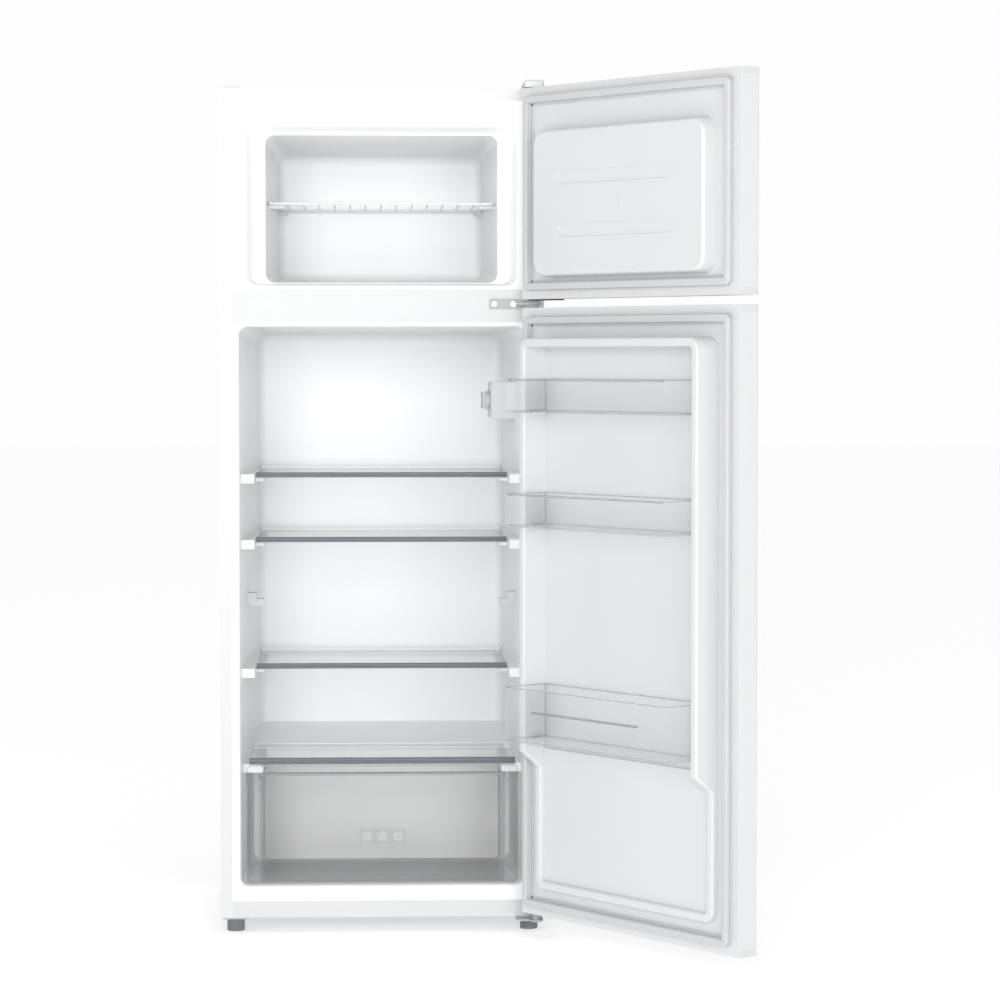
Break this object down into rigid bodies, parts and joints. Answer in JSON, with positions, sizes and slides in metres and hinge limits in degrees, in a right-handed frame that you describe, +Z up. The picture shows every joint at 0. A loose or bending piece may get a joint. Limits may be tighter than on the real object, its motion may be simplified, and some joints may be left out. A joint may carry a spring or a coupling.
{
  "type": "top freezer refrigerator",
  "caption": "Free-standing refrigerator with a freezer above, both doors open, glass shelves, crisper drawer and clear door bins.",
  "frame": {"origin": "on the floor, under the centre of the closed refrigerator's footprint", "axes": "+X to the right seen from the front, +Y from front to back, +Z up"},
  "size_m": [0.8593, 0.9741, 1.443],
  "materials": {
    "base_sheet": "satin",
    "base_tray": "satin",
    "bottom_hinge": "satin",
    "cabinet_insulation": "matte",
    "compressor": "satin",
    "compressor_grommets": "matte",
    "condenser_tube": "satin",
    "condenser_wires": "satin",
    "crisper_cover_glass": "gloss",
    "crisper_cover_trims": "gloss",
    "crisper_drawer": "gloss",
    "door_switch": "gloss",
    "door_switch_button": "gloss",
    "drain_tube": "satin",
    "evaporation_pan": "satin",
    "evaporators": "satin",
    "filter_drier": "satin",
    "freezer_door_end_caps": "gloss",
    "freezer_door_foam": "matte",
    "freezer_door_gasket": "satin",
    "freezer_door_panel": "gloss",
    "freezer_door_skin": "gloss",
    "freezer_door_stop": "satin",
    "freezer_liner": "gloss",
    "freezer_shelf": "gloss",
    "fridge_door_end_caps": "gloss",
    "fridge_door_foam": "matte",
    "fridge_door_gasket": "satin",
    "fridge_door_panel": "gloss",
    "fridge_door_skin": "gloss",
    "fridge_door_stop": "satin",
    "fridge_liner": "gloss",
    "front_foot_left": "gloss",
    "front_foot_right": "gloss",
    "front_rail": "gloss",
    "hinge_covers": "gloss",
    "hinge_screws": "satin",
    "lamp_bulb": "gloss",
    "lamp_lens": "gloss",
    "left_foot_plate": "satin",
    "lower_bin": "gloss",
    "lower_shelf_glass": "gloss",
    "lower_shelf_trims": "gloss",
    "middle_bin": "gloss",
    "middle_hinge": "satin",
    "middle_shelf_glass": "gloss",
    "middle_shelf_trims": "gloss",
    "mullion_trim": "gloss",
    "outer_wrapper": "gloss",
    "rear_feet": "satin",
    "rear_panel": "satin",
    "refrigerant_pipes": "satin",
    "relay_cover": "matte",
    "shelf_supports": "gloss",
    "thermostat_housing": "gloss",
    "thermostat_knob": "gloss",
    "top_hinge": "satin",
    "upper_bin": "gloss",
    "upper_shelf_glass": "gloss",
    "upper_shelf_trims": "gloss"
  },
  "bodies": {
    "cabinet": {"outer_wrapper": "outer_wrapper", "rear_panel": "rear_panel", "base_sheet": "base_sheet", "base_tray": "base_tray", "cabinet_insulation": "cabinet_insulation", "freezer_liner": "freezer_liner", "fridge_liner": "fridge_liner", "mullion_trim": "mullion_trim", "front_rail": "front_rail", "evaporators": "evaporators", "drain_tube": "drain_tube", "top_hinge": "top_hinge", "middle_hinge": "middle_hinge", "bottom_hinge": "bottom_hinge", "left_foot_plate": "left_foot_plate", "hinge_screws": "hinge_screws", "hinge_covers": "hinge_covers", "rear_feet": "rear_feet", "thermostat_housing": "thermostat_housing", "lamp_lens": "lamp_lens", "lamp_bulb": "lamp_bulb", "door_switch": "door_switch", "shelf_supports": "shelf_supports", "compressor": "compressor", "compressor_grommets": "compressor_grommets", "relay_cover": "relay_cover", "evaporation_pan": "evaporation_pan", "condenser_tube": "condenser_tube", "condenser_wires": "condenser_wires", "filter_drier": "filter_drier", "refrigerant_pipes": "refrigerant_pipes"},
    "front_foot_left": {"front_foot_left": "front_foot_left"},
    "front_foot_right": {"front_foot_right": "front_foot_right"},
    "thermostat_knob": {"thermostat_knob": "thermostat_knob"},
    "door_switch_button": {"door_switch_button": "door_switch_button"},
    "freezer_shelf": {"freezer_shelf": "freezer_shelf"},
    "crisper_drawer": {"crisper_drawer": "crisper_drawer"},
    "upper_shelf": {"upper_shelf_glass": "upper_shelf_glass", "upper_shelf_trims": "upper_shelf_trims"},
    "middle_shelf": {"middle_shelf_glass": "middle_shelf_glass", "middle_shelf_trims": "middle_shelf_trims"},
    "lower_shelf": {"lower_shelf_glass": "lower_shelf_glass", "lower_shelf_trims": "lower_shelf_trims"},
    "crisper_cover": {"crisper_cover_glass": "crisper_cover_glass", "crisper_cover_trims": "crisper_cover_trims"},
    "freezer_door": {"freezer_door_skin": "freezer_door_skin", "freezer_door_end_caps": "freezer_door_end_caps", "freezer_door_panel": "freezer_door_panel", "freezer_door_foam": "freezer_door_foam", "freezer_door_gasket": "freezer_door_gasket", "freezer_door_stop": "freezer_door_stop"},
    "fridge_door": {"fridge_door_skin": "fridge_door_skin", "fridge_door_end_caps": "fridge_door_end_caps", "fridge_door_panel": "fridge_door_panel", "fridge_door_foam": "fridge_door_foam", "fridge_door_gasket": "fridge_door_gasket", "fridge_door_stop": "fridge_door_stop"},
    "upper_bin": {"upper_bin": "upper_bin"},
    "middle_bin": {"middle_bin": "middle_bin"},
    "lower_bin": {"lower_bin": "lower_bin"}
  },
  "joints": [
    {"name": "freezer_door_swing", "type": "hinge", "parent": "cabinet", "child": "freezer_door", "pos_m": [0.26, -0.25475, 1.07575], "axis": [0, 0, 1], "range_deg": [-125.6, 4]},
    {"name": "fridge_door_swing", "type": "hinge", "parent": "cabinet", "child": "fridge_door", "pos_m": [0.26, -0.25475, 0.038], "axis": [0, 0, 1], "range_deg": [-125.6, 4]},
    {"name": "upper_bin_lift", "type": "slide", "parent": "fridge_door", "child": "upper_bin", "axis": [0, 0, 1], "range_m": [0, 0.03]},
    {"name": "middle_bin_lift", "type": "slide", "parent": "fridge_door", "child": "middle_bin", "axis": [0, 0, 1], "range_m": [0, 0.03]},
    {"name": "lower_bin_lift", "type": "slide", "parent": "fridge_door", "child": "lower_bin", "axis": [0, 0, 1], "range_m": [0, 0.03]},
    {"name": "upper_shelf_slide", "type": "slide", "parent": "cabinet", "child": "upper_shelf", "axis": [0, -1, 0], "range_m": [0, 0.2]},
    {"name": "middle_shelf_slide", "type": "slide", "parent": "cabinet", "child": "middle_shelf", "axis": [0, -1, 0], "range_m": [0, 0.2]},
    {"name": "lower_shelf_slide", "type": "slide", "parent": "cabinet", "child": "lower_shelf", "axis": [0, -1, 0], "range_m": [0, 0.2]},
    {"name": "crisper_cover_slide", "type": "slide", "parent": "cabinet", "child": "crisper_cover", "axis": [0, -1, 0], "range_m": [0, 0.1]},
    {"name": "crisper_drawer_slide", "type": "slide", "parent": "cabinet", "child": "crisper_drawer", "axis": [0, -1, 0], "range_m": [0, 0.17]},
    {"name": "freezer_shelf_slide", "type": "slide", "parent": "cabinet", "child": "freezer_shelf", "axis": [0, -1, 0], "range_m": [0, 0.15]},
    {"name": "thermostat_knob_turn", "type": "hinge", "parent": "cabinet", "child": "thermostat_knob", "pos_m": [0.19, -0.02925, 0.9035], "axis": [-1, 0, 0], "range_deg": [0, 300]},
    {"name": "door_switch_press", "type": "slide", "parent": "cabinet", "child": "door_switch_button", "axis": [0, 1, 0], "range_m": [0, 0.005], "stiffness_N_per_m": 150},
    {"name": "front_foot_left_turn", "type": "hinge", "parent": "cabinet", "child": "front_foot_left", "pos_m": [-0.2505, -0.19425, 0], "axis": [0, 0, 1], "range_deg": [-180, 180]},
    {"name": "front_foot_right_turn", "type": "hinge", "parent": "cabinet", "child": "front_foot_right", "pos_m": [0.2505, -0.19425, 0], "axis": [0, 0, 1], "range_deg": [-180, 180]}
  ]
}
